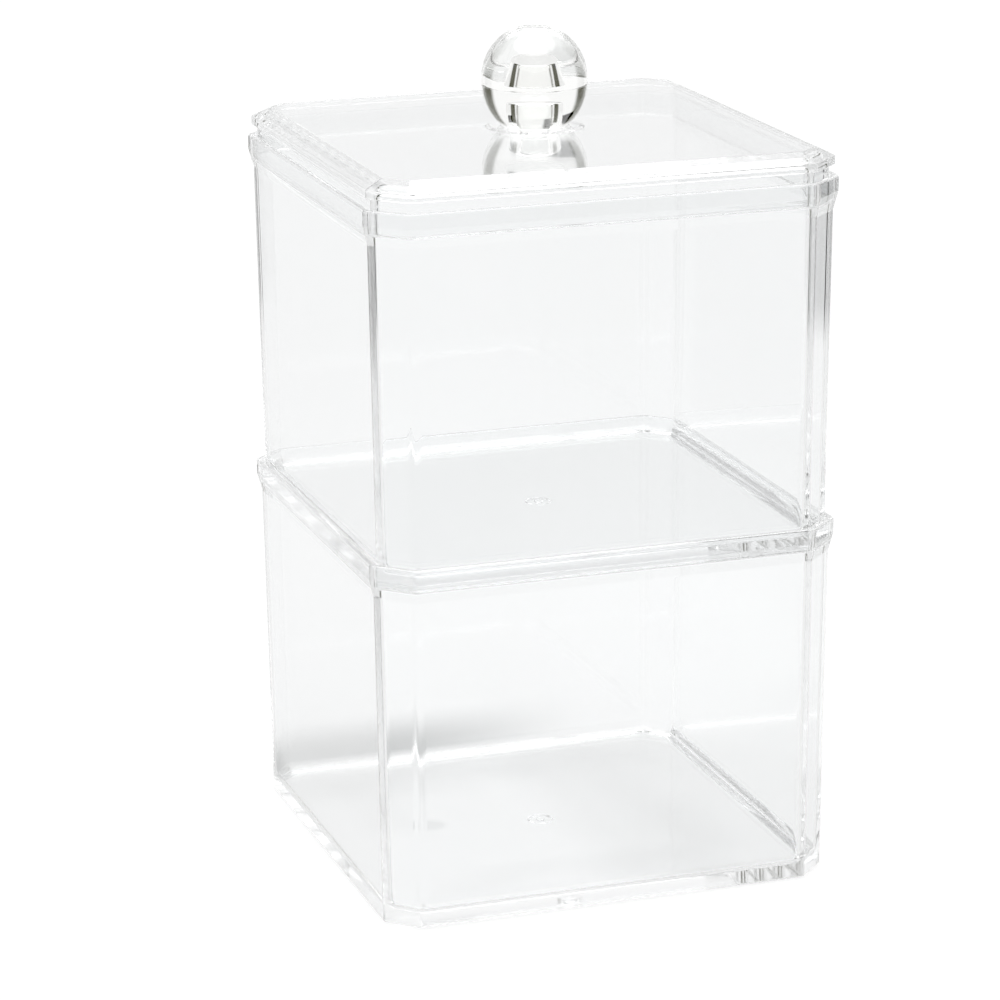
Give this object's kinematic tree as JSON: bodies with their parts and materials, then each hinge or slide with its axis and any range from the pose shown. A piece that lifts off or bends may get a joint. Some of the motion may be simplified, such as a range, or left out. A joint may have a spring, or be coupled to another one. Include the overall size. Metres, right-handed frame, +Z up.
{
  "type": "stacking cotton pad box",
  "caption": "Clear square stacking box for cotton pads: like open bins, one standing in the other's rim, under a bevelled lift-off lid with a ball knob.",
  "frame": {"origin": "middle of the foot of the lower bin, on the surface that the box stands on", "axes": "+Z up through the knob, -Y towards the front, X to the right"},
  "size_m": [0.092, 0.092, 0.1606],
  "materials": {
    "clear_moulding": "clear polystyrene, polished mould, faintly grey at its edges",
    "clear_lid": "clear polystyrene, polished mould, bright bevels",
    "clear_knob": "thick clear polystyrene, polished, with a fine seam round its middle"
  },
  "bodies": {
    "lower_tier": {"lower_bin": "clear_moulding"},
    "upper_tier": {"upper_bin": "clear_moulding"},
    "cover": {"lid": "clear_lid", "knob_base_half": "clear_knob", "knob_top_half": "clear_knob"}
  },
  "joints": [
    {"name": "upper_bin_lift", "type": "slide", "parent": "lower_tier", "child": "upper_tier", "axis": [0, 0, 1], "range_m": [0, 0.08]},
    {"name": "lid_lift", "type": "slide", "parent": "upper_tier", "child": "cover", "axis": [0, 0, 1], "range_m": [0, 0.05]}
  ]
}
